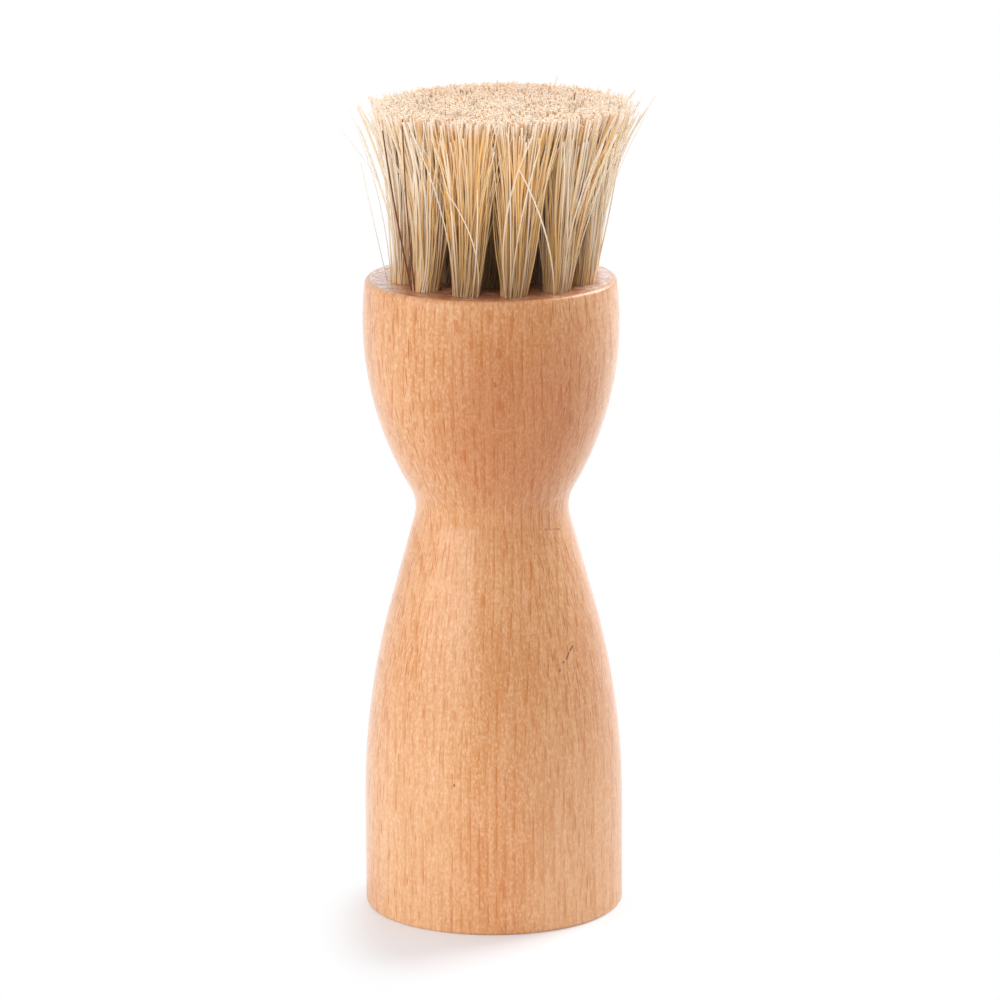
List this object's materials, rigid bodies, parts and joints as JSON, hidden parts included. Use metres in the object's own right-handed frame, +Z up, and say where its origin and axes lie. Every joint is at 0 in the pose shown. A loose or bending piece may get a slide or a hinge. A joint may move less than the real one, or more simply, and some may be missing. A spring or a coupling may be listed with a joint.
{
  "type": "shoe polish applicator brush",
  "caption": "Turned wooden applicator brush that stands on its flat base: an hourglass handle with a narrow waist and a round head of bristle tufts trimmed flat, for spreading shoe polish.",
  "frame": {"origin": "centre of the base, on the surface that the brush stands on", "axes": "+Z up along the turning axis, from the base to the bristle; +X to the right and -Y towards the viewer in the picture"},
  "size_m": [0.038, 0.038, 0.1195],
  "materials": {
    "beech": "turned beech under a thin satin lacquer, bare end grain on the drilled face",
    "bristle": "undyed light natural bristle with cut ends",
    "staple_wire": "bright drawn wire"
  },
  "bodies": {
    "root": {"handle": "beech", "tuft_centre": "bristle", "tuft_inner_01": "bristle", "tuft_inner_02": "bristle", "tuft_inner_03": "bristle", "tuft_inner_04": "bristle", "tuft_inner_05": "bristle", "tuft_inner_06": "bristle", "tuft_outer_01": "bristle", "tuft_outer_02": "bristle", "tuft_outer_03": "bristle", "tuft_outer_04": "bristle", "tuft_outer_05": "bristle", "tuft_outer_06": "bristle", "tuft_outer_07": "bristle", "tuft_outer_08": "bristle", "tuft_outer_09": "bristle", "tuft_outer_10": "bristle", "tuft_outer_11": "bristle", "tuft_outer_12": "bristle", "staple_centre": "staple_wire", "staple_inner_01": "staple_wire", "staple_inner_02": "staple_wire", "staple_inner_03": "staple_wire", "staple_inner_04": "staple_wire", "staple_inner_05": "staple_wire", "staple_inner_06": "staple_wire", "staple_outer_01": "staple_wire", "staple_outer_02": "staple_wire", "staple_outer_03": "staple_wire", "staple_outer_04": "staple_wire", "staple_outer_05": "staple_wire", "staple_outer_06": "staple_wire", "staple_outer_07": "staple_wire", "staple_outer_08": "staple_wire", "staple_outer_09": "staple_wire", "staple_outer_10": "staple_wire", "staple_outer_11": "staple_wire", "staple_outer_12": "staple_wire"}
  },
  "joints": []
}
